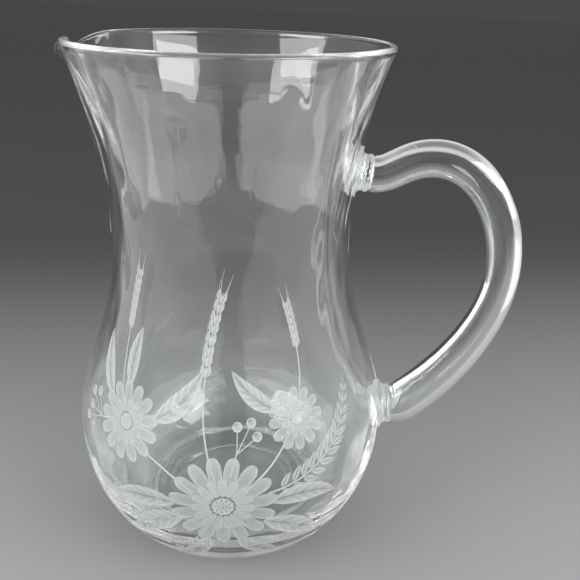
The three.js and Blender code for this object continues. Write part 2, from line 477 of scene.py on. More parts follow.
def turned(profile, sides):
    """Points of a profile turned about +Z. The profile starts and ends on the axis."""
    rings = profile[1:-1]
    middle = round_points(rings[:, :1], round_angles(sides), rings[:, 1:]).reshape(-1, 3)
    first = [0, 0, profile[0, 1]]
    last = [0, 0, profile[-1, 1]]
    return np.vstack([first, middle, last])


def shape_lip(points):
    """Bends the top of the wall outwards towards -X, and draws it in on both sides of the bend."""
    start = HEIGHT - LIP_DEPTH
    start_radius = wall_radius(start)
    azimuth = np.arctan2(points[:, 1], points[:, 0])
    turn = math.pi - np.abs(azimuth)
    rise = points[:, 2] - start
    share = np.minimum(turn / (2 * LIP_HALF_ANGLE), 1)
    drawn = LIP_PINCH * np.sin(math.pi * share) ** 2 * (rise / LIP_DEPTH) ** 2
    radius = np.hypot(points[:, 0], points[:, 1]) - drawn
    bend = LIP_BEND * np.cos(math.pi / 2 * np.minimum(turn / LIP_HALF_ANGLE, 1)) ** 2
    roll = LIP_DEPTH / np.maximum(bend, LEAST_BEND)
    inset = roll - (radius - start_radius)
    bent = bend > LEAST_BEND
    radius = np.where(bent, start_radius + roll - inset * np.cos(rise / roll), radius)
    height = np.where(bent, inset * np.sin(rise / roll), rise) + start
    return np.where(rise[:, None] > 0, round_points(radius, azimuth, height), points)


def bead_line(start):
    """Section of the floor's bead, from the inner wall over its crest to the dish of the floor."""
    crest = FLOOR_THICKNESS + BEAD_RISE
    groove = FLOOR_THICKNESS - BEAD_GROOVE
    top = (BEAD_RADIUS, crest)
    outside = [start, (BEAD_RADIUS + BEAD_OUTSIDE, groove), (BEAD_RADIUS + BEAD_CROWN, crest), top]
    inside = [
        top,
        (BEAD_RADIUS - BEAD_CROWN, crest),
        (BEAD_RADIUS - BEAD_INSIDE, groove),
        (DISH_RADIUS, FLOOR_THICKNESS),
    ]
    return joined([outside, inside], BEAD_STEPS)


def inner_wall():
    """Points of the inner wall, from the rim down to where the bead starts."""
    left_out = max(1, round(DISH_ROUND * WALL_STEPS))
    return joined(INNER, WALL_STEPS)[::-1][:-left_out]


def base_line():
    """Section of the base from the axis: the low dome, its step and the flat ring."""
    dome = bezier([(0, BASE_KICK), (KICK_RADIUS / 2, BASE_KICK), (KICK_RADIUS, KICK_EDGE)], DOME_STEPS)
    bend = (KICK_RADIUS + FOOT_INNER) / 2
    step = bezier([(KICK_RADIUS, KICK_EDGE), (bend, KICK_EDGE), (bend, 0), (FOOT_INNER, 0)], KICK_STEPS)
    ring = bezier([(FOOT_INNER, 0), (FOOT_FLAT, 0)], BASE_STEPS)
    return np.vstack([dome, step[1:], ring[1:]])


def rim_line():
    """Section of the rim, round from the outer wall to the inner one, without its ends."""
    half = RIM_WALL / 2
    turns = np.linspace(0, math.pi, RIM_STEPS + 1)[1:-1]
    radius = RIM_RADIUS - half + half * np.cos(turns)
    height = HEIGHT - half + half * np.sin(turns)
    return np.stack([radius, height], axis=1)


def body_profile():
    """The body's whole section: base, outer wall, rim, inner wall and floor."""
    outer = joined(OUTER, WALL_STEPS)
    inner = inner_wall()
    skip = max(1, round(FOOT_ROUND * WALL_STEPS))
    foot = bezier([(FOOT_FLAT, 0), (FOOT_RADIUS, 0), outer[skip]], FOOT_STEPS)[1:]
    bead = bead_line(inner[-1])[1:]
    floor = bezier([(DISH_RADIUS, FLOOR_THICKNESS), (0, FLOOR_THICKNESS)], FLOOR_STEPS)[1:]
    return np.vstack([base_line(), foot, outer[skip + 1:], rim_line(), inner, bead, floor])


def rippled(points):
    """The inner wall with slow ripples, which fade towards the floor and the rim."""
    radius = np.hypot(points[:, 0], points[:, 1])
    azimuth = np.arctan2(points[:, 1], points[:, 0])
    height = points[:, 2]
    middle = np.interp(height, INNER_TABLE[:, 1], INNER_TABLE[:, 0]) + BELLY_WALL / 2
    low = FLOOR_THICKNESS + BEAD_RISE
    inside = (radius < middle) & (height > low)
    above = np.clip((height - low) / RIPPLE_EASE, 0, 1)
    below = np.clip((HEIGHT - RIM_WALL - height) / RIPPLE_EASE, 0, 1)
    ease = above * below
    push = sum(
        depth * np.sin(waves * azimuth + turn * height + waves) for depth, waves, turn in RIPPLES
    )
    share = np.where(inside, 1 + ease * push / np.maximum(radius, 1), 1)
    return points * np.stack([share, share, np.ones_like(share)], axis=1)


def make_body():
    profile = body_profile()
    points = shape_lip(rippled(turned(profile, BODY_SIDES)))
    piece = make_mesh("body_blown_glass", points, tube_faces(len(profile) - 2, BODY_SIDES))
    return set_flow(piece, points)


def weld_frame(height):
    """Origin on the wall, and the outward, sideways and upward directions of a weld."""
    tilt = wall_tilt(height)
    origin = np.array([wall_radius(height), 0, height])
    outward = np.array([math.cos(tilt), 0, math.sin(tilt)])
    upward = np.array([-math.sin(tilt), 0, math.cos(tilt)])
    return origin, outward, np.array([0, 1.0, 0]), upward


def in_weld(height, out, side, up):
    """Points of a weld from its own distances."""
    origin, outward, sideways, upward = weld_frame(height)
    return origin + out[..., None] * outward + side[..., None] * sideways + up[..., None] * upward


def wall_depth(height, side, up):
    """How far out the wall lies in a weld's frame, at distances across it, found by halving."""
    reach = 20.0
    halvings = 40
    low = np.full_like(side, -reach)
    high = np.full_like(side, reach)
    for _ in range(halvings):
        middle = (low + high) / 2
        spot = in_weld(height, middle, side, up)
        inside = np.hypot(spot[..., 0], spot[..., 1]) < wall_radius(spot[..., 2])
        low = np.where(inside, middle, low)
        high = np.where(inside, high, middle)
    return low


def weld_mesh(name, weld, rings, near, far):
    """A closed piece of a weld from its rings, with a point in the middle of both ends."""
    zero = np.zeros(1)
    first = in_weld(weld.height, zero + near, zero, zero)
    last = in_weld(weld.height, zero + far, zero, zero)
    points = np.vstack([first] + rings + [last])
    return set_flow(make_mesh(name, points, tube_faces(len(rings), ROD_SIDES)), points)


def pad_rows(foot, neck, length):
    """The rings of a pad, each as its radius, its lift and how far it follows the wall."""
    corner = (neck, length)
    under = foot * PAD_UNDERSIDE * np.linspace(0, 1, PAD_UNDER_STEPS + 1)[1:]
    edge = bezier([(foot - PAD_UNDERCUT, 0), (foot + PAD_BULGE, 0), (foot, PAD_EDGE)], PAD_EDGE_STEPS)
    flare = bezier([(foot, PAD_EDGE), (neck, PAD_EDGE), corner], PAD_FLARE_STEPS)
    face = bezier([corner, corner, (neck * PAD_FACE, length), (0, length)], PAD_FACE_STEPS)
    follow = np.linspace(1, 0, PAD_FLARE_STEPS + 1) ** 2
    rows = [(radius, 0, 1) for radius in under]
    rows += [(radius, lift, 1) for radius, lift in edge[1:-1]]
    rows += [(radius, lift, share) for (radius, lift), share in zip(flare, follow)]
    rows += [(radius, lift, 0) for radius, lift in face[1:-1]]
    return rows


def make_pad(name, weld):
    """A gather of glass pressed against the wall: it spreads there and narrows to the collar."""
    angles = round_angles(ROD_SIDES)
    lumps = round_waves(angles, PAD_LUMPS)
    rings = []
    for radius, lift, follow in pad_rows(weld.foot, weld.neck, weld.pad):
        side = radius * (1 + follow * lumps) * np.cos(angles)
        up = radius * (1 + follow * lumps) * np.sin(angles)
        out = lift + SEAM * (lift == 0) + follow * wall_depth(weld.height, side, up)
        rings.append(in_weld(weld.height, out, side, up))
    return weld_mesh(name, weld, rings, SEAM, weld.pad)


def make_collar(name, weld):
    """The pinched ring between a pad and the rod."""
    near = weld.pad + SEAM
    far = weld.pad + 2 * CLEARANCE + weld.collar - SEAM
    edge = weld.neck - COLLAR_DIP
    crest = (weld.neck + 2 * COLLAR_SWELL, (near + far) / 2)
    rows = [(weld.neck * share, near) for share in COLLAR_ENDS]
    rows += [(radius, out) for radius, out in bezier([(edge, near), crest, (edge, far)], COLLAR_STEPS)]
    rows += [(weld.neck * share, far) for share in COLLAR_ENDS[::-1]]
    angles = round_angles(ROD_SIDES)
    lump = 1 + round_waves(angles, COLLAR_LUMPS)
    side = lump * np.cos(angles)
    up = lump * np.sin(angles)
    level = np.ones(ROD_SIDES)
    rings = [in_weld(weld.height, out * level, radius * side, radius * up) for radius, out in rows]
    return weld_mesh(name, weld, rings, near, far)


def rod_end(weld):
    """Where the rod starts on a weld, and which way it leaves."""
    origin, outward, _, _ = weld_frame(weld.height)
    return origin + outward * (weld.pad + weld.collar + 2 * CLEARANCE), outward


def rod_knee(lower, arrive):
    """Where the rod turns in above the lower weld, and which way it points there."""
    bend = KNEE_DIAMETER / 2 + KNEE_SLACK
    overhead = np.array([-arrive[2], 0, arrive[0]])
    below = np.array([math.sin(KNEE_SLOPE), 0, -math.cos(KNEE_SLOPE)])
    inward = np.array([-math.cos(KNEE_SLOPE), 0, -math.sin(KNEE_SLOPE)])
    return lower + bend * overhead + bend * below, inward


def rod_stretches():
    """Control points of the rod's middle line in four stretches."""
    upper, leave = rod_end(UPPER_WELD)
    lower, arrive = rod_end(LOWER_WELD)
    knee, inward = rod_knee(lower, arrive)
    along = np.array([1.0, 0, 0])
    down = np.array([0, 0, -1.0])
    crown_reach = wall_radius(UPPER_WELD.height) + CROWN_RUN
    crown = np.array([crown_reach, 0, UPPER_WELD.height + CROWN_RISE])
    reach = np.array([HANDLE_REACH, 0, REACH_HEIGHT])
    root = crown[0] - upper[0]
    bow_width = QUARTER_ARC * (reach[0] - crown[0])
    bow_height = QUARTER_ARC * (crown[2] - reach[2])
    fall = np.linalg.norm(reach - knee)
    tail = np.linalg.norm(knee - lower) / 3
    return [
        [upper, upper + leave * root / 3, crown - along * root / 2, crown],
        [crown, crown + along * bow_width, reach - down * bow_height, reach],
        [reach, reach + down * FALL_LEAVE * fall, knee - inward * FALL_ARRIVE * fall, knee],
        [knee, knee + inward * tail, lower + arrive * tail, lower],
    ]


def rod_path():
    """Middle points and radii along the whole rod."""
    points = joined(rod_stretches(), ROD_STEPS)
    diameters = [2 * UPPER_WELD.neck, CROWN_DIAMETER, GRIP_DIAMETER, KNEE_DIAMETER, 2 * LOWER_WELD.neck]
    share = np.linspace(0, 1, ROD_STEPS + 1)[1:]
    ease = share ** 2 * (3 - 2 * share)
    radii = [[UPPER_WELD.neck]]
    for start, end in zip(diameters, diameters[1:]):
        radii.append((start + (end - start) * ease) / 2)
    return points, np.concatenate(radii)


def make_handle():
    """The solid rod, with its two end edges rounded."""
    points, radii = rod_path()
    sideways = np.array([0, 1.0, 0])
    upward = np.cross(directions(points), sideways)
    run = np.concatenate([[0], np.cumsum(np.linalg.norm(np.diff(points, axis=0), axis=1))])
    from_end = np.minimum(run, run[-1] - run)
    short = np.clip(ROD_END_ROUND - from_end, 0, ROD_END_ROUND)
    radii = radii - (ROD_END_ROUND - np.sqrt(ROD_END_ROUND ** 2 - short ** 2))
    angles = round_angles(ROD_SIDES)
    rings = [
        centre + r * np.outer(np.cos(angles), up) + r * np.outer(np.sin(angles), sideways)
        for centre, r, up in zip(points, radii, upward)
    ]
    whole = np.vstack([points[:1]] + rings + [points[-1:]])
    straight = [
        np.stack([r * np.cos(angles), r * np.sin(angles), np.full(ROD_SIDES, length)], axis=1)
        for r, length in zip(radii, run)
    ]
    flow = np.vstack([[(0, 0, 0)]] + straight + [[(0, 0, run[-1])]])
    return set_flow(make_mesh("handle_rod", whole, tube_faces(len(rings), ROD_SIDES)), flow)


def link(tree, source, target):
    tree.links.new(source, target)


def new_material(name):
    """A material, with its node tree and its main shader."""
    material = bpy.data.materials.new(name)
    material.use_nodes = True
    tree = material.node_tree
    return material, tree, tree.nodes["Principled BSDF"]


def show(tree, shader):
    """Makes a shader what the material shows."""
    link(tree, shader.outputs[0], tree.nodes["Material Output"].inputs["Surface"])


def kept_value(tree, name):
    """What was kept for each point of a mesh."""
    kept = tree.nodes.new("ShaderNodeAttribute")
    kept.attribute_name = name
    return kept.outputs


def ray_path(tree):
    """What is known of the ray that meets the surface."""
    return tree.nodes.new("ShaderNodeLightPath").outputs


def noise(tree, vector, scale, detail):
    """A noise texture read along a vector."""
    texture = tree.nodes.new("ShaderNodeTexNoise")
    texture.inputs["Scale"].default_value = scale
    texture.inputs["Detail"].default_value = detail
    link(tree, vector, texture.inputs["Vector"])
    return texture.outputs["Fac"]


def drawn_out(tree, vector, along):
    """The same vector, with the pattern on it drawn out along the glass."""
    mapping = tree.nodes.new("ShaderNodeMapping")
    mapping.inputs["Scale"].default_value = (1, 1, along)
    link(tree, vector, mapping.inputs["Vector"])
    return mapping.outputs["Vector"]


def ranged(tree, value, low, high, to_low=0, to_high=1, ease="LINEAR"):
    """A value brought from one range to another."""
    change = tree.nodes.new("ShaderNodeMapRange")
    change.interpolation_type = ease
    change.inputs["From Min"].default_value = low
    change.inputs["From Max"].default_value = high
    change.inputs["To Min"].default_value = to_low
    change.inputs["To Max"].default_value = to_high
    link(tree, value, change.inputs["Value"])
    return change.outputs["Result"]


def eased(tree, value, span, low=0, high=1):
    """A value brought from a span to a range, slowly at both ends."""
    return ranged(tree, value, *span, low, high, "SMOOTHSTEP")


def mirrored(tree, path):
    """1 for a ray that the glass has mirrored, and 0 for any other."""
    return ranged(tree, path["Glossy Depth"], 0, 1)


def reckoned(tree, operation, first, second=None):
    """One step of arithmetic on values."""
    step = tree.nodes.new("ShaderNodeMath")
    step.operation = operation
    link(tree, first, step.inputs[0])
    if second is not None:
        link(tree, second, step.inputs[1])
    return step.outputs["Value"]


def product(tree, first, *others):
    """Values multiplied together."""
    for other in others:
        first = reckoned(tree, "MULTIPLY", first, other)
    return first


def two_colours(tree, value, first, second):
    """A colour between two, by a value."""
    ramp = tree.nodes.new("ShaderNodeValToRGB")
    ramp.color_ramp.elements[0].color = (*first, 1)
    ramp.color_ramp.elements[1].color = (*second, 1)
    link(tree, value, ramp.inputs["Fac"])
    return ramp.outputs["Color"]


def towards(tree, vector, direction):
    """How far a vector points along a direction."""
    along = tree.nodes.new("ShaderNodeVectorMath")
    along.operation = "DOT_PRODUCT"
    along.inputs[1].default_value = direction
    link(tree, vector, along.inputs[0])
    return along.outputs["Value"]


def bumped(tree, height, depth, before=None):
    """A normal from a height, on top of another normal if there is one."""
    bump = tree.nodes.new("ShaderNodeBump")
    bump.inputs["Strength"].default_value = 1
    bump.inputs["Distance"].default_value = depth
    link(tree, height, bump.inputs["Height"])
    if before is not None:
        link(tree, before, bump.inputs["Normal"])
    return bump.outputs["Normal"]


def blended(tree, share, first, second):
    """A mix of two shaders, with the share of the second as a number or a socket."""
    mix = tree.nodes.new("ShaderNodeMixShader")
    if isinstance(share, float):
        mix.inputs["Fac"].default_value = share
    else:
        link(tree, share, mix.inputs["Fac"])
    link(tree, first.outputs[0], mix.inputs[1])
    link(tree, second.outputs[0], mix.inputs[2])
    return mix


def glass_material(name, tints, wave_scale, wave_depth, cord_scale, cord_depth, cord_draw):
    """Clear glass with slow waves, drawn-out cords and a trace of wear, which lets light through."""
    material, tree, shader = new_material(name)
    shader.inputs["Transmission Weight"].default_value = 1
    shader.inputs["IOR"].default_value = GLASS_IOR
    flow = kept_value(tree, "flow")["Vector"]
    waves = noise(tree, flow, wave_scale, WAVE_DETAIL)
    cords = noise(tree, drawn_out(tree, flow, cord_draw), cord_scale, CORD_DETAIL)
    normal = bumped(tree, cords, cord_depth, bumped(tree, waves, wave_depth))
    link(tree, normal, shader.inputs["Normal"])
    link(tree, two_colours(tree, waves, *tints), shader.inputs["Base Color"])
    wear = noise(tree, flow, WEAR_SCALE, WEAR_DETAIL)
    link(tree, ranged(tree, wear, *WEAR_SPAN, 0, WEAR_ROUGHNESS), shader.inputs["Roughness"])
    clear = tree.nodes.new("ShaderNodeBsdfTransparent")
    clear.inputs["Color"].default_value = (*SHADOW_PASS, 1)
    show(tree, blended(tree, ray_path(tree)["Is Shadow Ray"], shader, clear))
    return material


def wall_spots(flat, lift):
    """Points on the outer wall from distances round the belly and up the wall, lifted off it."""
    run = BELLY_RUN + flat[..., 1]
    radius = np.interp(run, WALL_RUN, WALL_TABLE[:, 0])
    height = np.interp(run, WALL_RUN, WALL_TABLE[:, 1])
    lean = np.interp(run, WALL_RUN, WALL_LEAN)
    azimuth = ETCHING_MIDDLE + flat[..., 0] / BELLY_RADIUS
    radius = radius + lift * np.cos(lean)
    height = height + lift * np.sin(lean)
    return round_points(radius, azimuth, height)


def strip(spine, half_width, frost, across):
    """A patch along a line on the wall, with its frost by the shares along and across it."""
    along = directions(spine)
    side = np.stack([-along[:, 1], along[:, 0]], axis=1)
    share = np.linspace(-1, 1, across)
    t = np.linspace(0, 1, len(spine))[:, None]
    grid = spine[:, None, :] + half_width[:, None, None] * share[None, :, None] * side[:, None, :]
    cut = frost(t, share[None, :]) * np.ones((len(spine), across))
    return grid, np.clip(cut, LEAST_FROST, 1)


def leaf_frost(t, q):
    """Frost of a leaf by the shares along and across it: most at its edges, least on its rib."""
    rib = np.exp(-(q / RIB_WIDTH) ** 2)
    veins = 0.5 + 0.5 * np.cos(2 * math.pi * (VEINS * t - VEIN_SLANT * np.abs(q)))
    blade = LEAF_FROST + LEAF_EDGE * np.abs(q) ** LEAF_EDGE_POWER + VEIN_FROST * veins
    return blade * (1 - RIB_CLEAR * rib)


def leaf(base, bow, tip, width):
    """A pointed leaf with a clear rib and slanted veins."""
    spine = bezier([base, bow, tip], LEAF_STEPS)
    t = np.linspace(0, 1, len(spine))
    half = width / 2 * np.sin(math.pi * t ** LEAF_FORWARD) ** LEAF_ROUND
    return strip(spine, np.maximum(half, THINNEST), leaf_frost, LEAF_ACROSS)


def petal_frost(t, q):
    """Frost of a petal: most at its edges and ends, with stripes that fade towards its tip."""
    stripes = 0.5 + 0.5 * np.cos(PETAL_STRIPES * math.pi * q)
    plain = PETAL_FROST + PETAL_EDGE * q ** 4 + PETAL_ENDS * t ** 3 + PETAL_ENDS * (1 - t) ** 3
    return plain - STRIPE_DEPTH * stripes * (1 - STRIPE_FADE * t)


def petal(middle, angle, inner, outer, width):
    """A round-ended petal with fine stripes."""
    ray = np.array([math.cos(angle), math.sin(angle)])
    spine = np.asarray(middle) + np.linspace(inner, outer, PETAL_STEPS)[:, None] * ray
    t = np.linspace(0, 1, len(spine))
    swell = PETAL_ROOT + (1 - PETAL_ROOT) * np.sin(math.pi / 2 * np.minimum(t / PETAL_BROAD, 1))
    past = np.maximum(t - PETAL_TIP, 0) / PETAL_TIP_LENGTH
    tip = np.sqrt(np.clip(1 - past ** 2, 0, 1))
    return strip(spine, width / 2 * swell * tip, petal_frost, PETAL_ACROSS)


def disc(middle, radius, frost, rings=7, spokes=28):
    """A round patch with its frost by the share of its radius and the angle."""
    share = np.linspace(DISC_START, 1, rings)[:, None]
    turn = np.linspace(0, 2 * math.pi, spokes + 1)[None, :]
    grid = np.stack([share * np.cos(turn), share * np.sin(turn)], axis=2) * radius + np.asarray(middle)
    cut = frost(share, turn) * np.ones((rings, spokes + 1))
    return grid, np.clip(cut, LEAST_FROST, 1)


def seed_frost(share, turn):
    """Frost of a seed head: dots in rings, and a brighter edge."""
    dots = np.cos(SEED_RINGS * math.pi * share) * np.cos(SEED_SPOKES * turn)
    return SEED_FROST + SEED_DOTS * dots + SEED_EDGE * share ** 6


def daisy(middle, radius, count, start):
    """A daisy: a ring of long petals, a ring of short ones, and a seed head."""
    step = 2 * math.pi / count
    wide = 2 * math.pi * radius * PETAL_RING / count * PETAL_ROOM
    long = (LONG_START * radius, radius, wide)
    short = (SHORT_START * radius, SHORT_END * radius, wide * SHORT_WIDTH)
    long_ring = [petal(middle, start + i * step, *long) for i in range(count)]
    short_ring = [petal(middle, start + (i + 0.5) * step, *short) for i in range(count)]
    return long_ring, short_ring, [disc(middle, HEAD_RADIUS * radius, seed_frost)]


def line_frost(t, q):
    """Frost of a cut line, the same all along it."""
    return LINE_FROST - LINE_EDGE * q ** 2 + 0 * t


def stroke(control, thick, thin, steps=30):
    """A cut line that thins out."""
    spine = bezier(control, steps)
    return strip(spine, np.linspace(thick, thin, len(spine)) / 2, line_frost, LINE_ACROSS)


def spot_on(control, share):
    """A point of a curve and the direction there."""
    line = bezier(control, CURVE_STEPS)
    i = int(round(share * CURVE_STEPS))
    ahead = line[min(i + 1, CURVE_STEPS)] - line[max(i - 1, 0)]
    return line[i], math.atan2(ahead[1], ahead[0])


def from_point(point, angle, length):
    return point + length * np.array([math.cos(angle), math.sin(angle)])


def frond(control, count, longest):
    """A fern frond: small leaves in pairs that get shorter towards the tip."""
    patches = [stroke(control, *FERN_STALK)]
    for i in range(count):
        share = FERN_START + FERN_RUN * i / count
        swell = math.sin(math.pi * (FERN_RISE + (1 - FERN_RISE) * share))
        length = longest * (FERN_LEAST + (1 - FERN_LEAST) * swell)
        root, heading = spot_on(control, share)
        for side in (1, -1):
            angle = heading + side * math.radians(FERN_SPREAD - FERN_CLOSING * share)
            tip = from_point(root, angle - side * FERN_BEND, length)
            bow = from_point(root, angle, length * FERN_BOW)
            patches.append(leaf(from_point(root, angle, FERN_GAP), bow, tip, length * FERN_WIDTH))
    return patches


def corn_frost(t, q):
    """Frost of a grain of corn: most at its edges and its tip."""
    return CORN_FROST + CORN_EDGE * np.abs(q) ** 2 + CORN_TIP * t


def corn_grain(start, angle, side, size):
    """One grain of an ear, with the long beard at its tip."""
    tip = from_point(start, angle - side * CORN_BEND, size)
    spine = bezier([start, from_point(start, angle + side * CORN_BOW, size / 2), tip], CORN_STEPS)
    t = np.linspace(0, 1, len(spine))
    half = np.maximum(size * CORN_WIDTH * np.sin(math.pi * t ** CORN_FORWARD), THINNEST)
    bow = from_point(tip, angle - side * BEARD_BOW, size * BEARD_BOW_LENGTH)
    end = from_point(tip, angle - side * BEARD_BEND, size * BEARD_LENGTH)
    beard = stroke([tip, bow, end], *BEARD, SHORT_STEPS)
    return [strip(spine, half, corn_frost, CORN_ACROSS), beard]


def ear(control, count, size):
    """An ear of corn: bearded grains on both sides of a stalk."""
    patches = [stroke(control, *EAR_STALK)]
    for i in range(count):
        root, heading = spot_on(control, EAR_START + EAR_RUN * i / count)
        for side in (1, -1):
            angle = heading + side * EAR_SPREAD
            patches += corn_grain(from_point(root, angle, EAR_GAP), angle, side, size)
    return patches


def berry_frost(share, turn):
    """Frost of a berry: most at its edge, and clear where it gleams."""
    across = np.exp(-((share - GLEAM_PLACE) / GLEAM_WIDTH) ** 2)
    gleam = across * np.clip(np.cos(turn - GLEAM_TURN), 0, 1) ** 4
    return (BERRY_FROST + BERRY_EDGE * share ** 3) * (1 - GLEAM_CLEAR * gleam)


def berries(root, heading, count, reach):
    """Round berries on thin stalks that fan out from one point."""
    patches = []
    start = np.asarray(root, float)
    for i in range(count):
        angle = heading + BERRY_FAN * (i - (count - 1) / 2)
        tip = from_point(start, angle, reach * (BERRY_NEAR + (1 - BERRY_NEAR) * (i % 2)))
        bow = from_point(start, angle, reach / 2)
        patches.append(stroke([start, bow, tip], *BERRY_STALK, SHORT_STEPS))
        patches.append(disc(from_point(tip, angle, BERRY_SEAT), BERRY_RADIUS, berry_frost))
    return patches


def etched_shell(layer, patch):
    """Points, faces and frost of one patch as a thin closed shell on the wall."""
    grid, frost = patch
    rows, cols = frost.shape
    lift = FILM_GAP + layer * (FILM + FILM_GAP)
    top = wall_spots(grid, lift + FILM).reshape(-1, 3)
    under = wall_spots(grid, lift).reshape(-1, 3)
    number = np.arange(rows * cols).reshape(rows, cols)
    low, right, far, left = number[:-1, :-1], number[1:, :-1], number[1:, 1:], number[:-1, 1:]
    quads = np.stack([low, right, far, left], axis=2).reshape(-1, 4)
    loop = np.concatenate([number[0, :-1], number[:-1, -1], number[-1, :0:-1], number[:0:-1, 0]])
    after = np.roll(loop, -1)
    count = rows * cols
    rim = np.stack([loop, loop + count, after + count, after], axis=1)
    faces = np.vstack([quads, quads[:, ::-1] + count, rim])
    return np.vstack([top, under]), faces, np.tile(frost.ravel(), 2)


def make_etching(name, layers):
    """One piece from patches on one or more layers."""
    points, faces, frost = [], [], []
    start = 0
    for layer, patches in layers:
        for patch in patches:
            spots, quads, cut = etched_shell(layer, patch)
            points.append(spots)
            faces.append(quads + start)
            frost.append(cut)
            start += len(spots)
    piece = make_mesh(name, np.vstack(points), np.vstack(faces).tolist())
    return set_frost(piece, np.concatenate(frost))


def painted_highlight_section():
    """Section of the painted highlight line: over the crest of the bead, and back under itself."""
    line = bead_line(inner_wall()[-1])
    along = directions(line)
    off = np.stack([along[:, 1], -along[:, 0]], axis=1)
    highlight_span = slice(BEAD_STEPS - BEAD_HIGHLIGHT_STEPS, BEAD_STEPS + BEAD_HIGHLIGHT_STEPS + 1)
    over = (line + (FILM_GAP + FILM) * off)[highlight_span]
    under = (line + FILM_GAP * off)[highlight_span]
    return np.vstack([over, under[::-1]])


def ring_faces(count, sides):
    """Faces of a closed section that is turned all the way round."""
    faces = []
    for i in range(sides):
        near = i * count
        far = (i + 1) % sides * count
        for j in range(count):
            k = (j + 1) % count
            faces.append((near + j, far + j, far + k, near + k))
    return faces


def make_painted_highlight_ring():
    """A painted highlight along the crest of the floor's bead: a thin closed shell of white frost that
    stands for the bright line of light on it.
    """
    section = painted_highlight_section()
    angles = round_angles(BODY_SIDES)
    points = round_points(section[:, 0], angles[:, None], section[:, 1]).reshape(-1, 3)
    piece = make_mesh("floor_painted_highlight_ring", points, ring_faces(len(section), BODY_SIDES))
    share = np.linspace(-1, 1, 2 * BEAD_HIGHLIGHT_STEPS + 1)
    across = np.concatenate([share, share[::-1]])
    streaks = round_waves(angles, BEAD_HIGHLIGHT_STREAKS)
    # Frost of the painted highlight: whiter at its edges and streaked round the floor
    frost = BEAD_HIGHLIGHT_FROST + streaks[:, None] + BEAD_HIGHLIGHT_EDGE * across ** 2
    return set_frost(piece, np.clip(frost, LEAST_FROST, 1))


def frost_material():
    """Ground glass: white where it is cut deep and thin where it is brushed, with a fine grain. It also
    makes the painted highlight on the floor's bead.
    """
    material, tree, shader = new_material("frost_and_painted_highlight")
    shader.inputs["Roughness"].default_value = FROST_ROUGHNESS
    shader.inputs["IOR"].default_value = FROST_IOR
    cut = kept_value(tree, "frost")["Fac"]
    place = tree.nodes.new("ShaderNodeTexCoord").outputs["Object"]
    grain = noise(tree, place, GRAIN_SCALE, GRAIN_DETAIL)
    depth = product(tree, cut, ranged(tree, grain, *GRAIN_SPAN, GRAIN_LEAST, 1))
    link(tree, depth, shader.inputs["Alpha"])
    colour = two_colours(tree, cut, FROST_THIN, FROST_DEEP)
    link(tree, colour, shader.inputs["Base Color"])
    through = tree.nodes.new("ShaderNodeBsdfTranslucent")
    link(tree, colour, through.inputs["Color"])
    thinned = blended(tree, depth, tree.nodes.new("ShaderNodeBsdfTransparent"), through)
    show(tree, blended(tree, FROST_THROUGH, shader, thinned))
    return material


def spray_daisies():
    """The flowers of the spray on three layers: long petals, short petals and seed heads."""
    flowers = [
        daisy((12, -2), 23, 15, 0.1),
        daisy((-35, 27), 17.5, 13, 0.3),
        daisy((46, 33), 13.5, 12, 0.0),
    ]
    long_rings = [patch for flower in flowers for patch in flower[0]]
    short_rings = [patch for flower in flowers for patch in flower[1]]
    heads = [patch for flower in flowers for patch in flower[2]]
    return [(2, long_rings), (3, short_rings), (4, heads)]


def spray_leaves():
    return [
        leaf((-5, -10), (-22, -15), (-33, -32), 12),
        leaf((-8, -3), (-26, -2), (-41, -10), 10),
        leaf((6, -21), (0, -36), (-14, -46), 9),
        leaf((18, -21), (28, -34), (42, -42), 9),
        leaf((29, -12), (46, -18), (60, -34), 11),
        leaf((32, -2), (50, 2), (64, -8), 10),
        leaf((-21, 32), (-6, 39), (2, 56), 10),
        leaf((-47, 34), (-60, 46), (-60, 60), 9),
        leaf((37, 38), (24, 44), (16, 56), 8),
        leaf((-37, 41), (-40, 56), (-34, 68), 8),
    ]


def spray_stems():
    return [
        stroke([(0, 4), (-14, 14), (-24, 18)], 1.1, 0.8),
        stroke([(22, 6), (32, 14), (39, 24)], 1.1, 0.8),
        stroke([(15, 12), (17, 18), (18, 23)], 0.8, 0.6),
        stroke([(6, -14), (1, -21), (-2, -26)], 0.8, 0.6),
        stroke([(-45, 24), (-49, 23), (-52, 22)], 0.8, 0.6),
    ]


def etching_pieces():
    """A spray of daisies with leaves, ferns, corn and berries, between the lip and the handle.

    Places are distances in millimetres round the belly and up the wall from the middle of the spray."""
    ferns = frond([(-4, -10), (-42, -26), (-74, 2)], 15, 11)
    ferns += frond([(31, 3), (66, 8), (78, 42)], 12, 9)
    ears = ear([(9, 10), (-5, 48), (12, 88)], 8, 6)
    ears += ear([(-40, 36), (-50, 60), (-38, 92)], 7, 5.4)
    ears += ear([(48, 40), (55, 58), (46, 82)], 6, 5)
    fruit = berries((-52, 22), math.radians(165), 4, 12)
    fruit += berries((18, 22), math.radians(62), 3, 12)
    fruit += berries((-2, -26), math.radians(228), 3, 10)
    return [
        make_etching("etched_stems", [(0, spray_stems())]),
        make_etching("etched_leaves", [(1, spray_leaves())]),
        make_etching("etched_ferns", [(0, ferns)]),
        make_etching("etched_corn_ears", [(0, ears)]),
        make_etching("etched_berries", [(0, fruit)]),
        make_etching("etched_daisies", spray_daisies()),
    ]


def add_piece(piece, material, slot, *nodes):
    """Gives a piece its material and its place in the frame, and hides the nodes that it stands for."""
    piece.data.materials.append(material)
    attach(piece, "root")
    if nodes:
        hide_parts(*nodes)


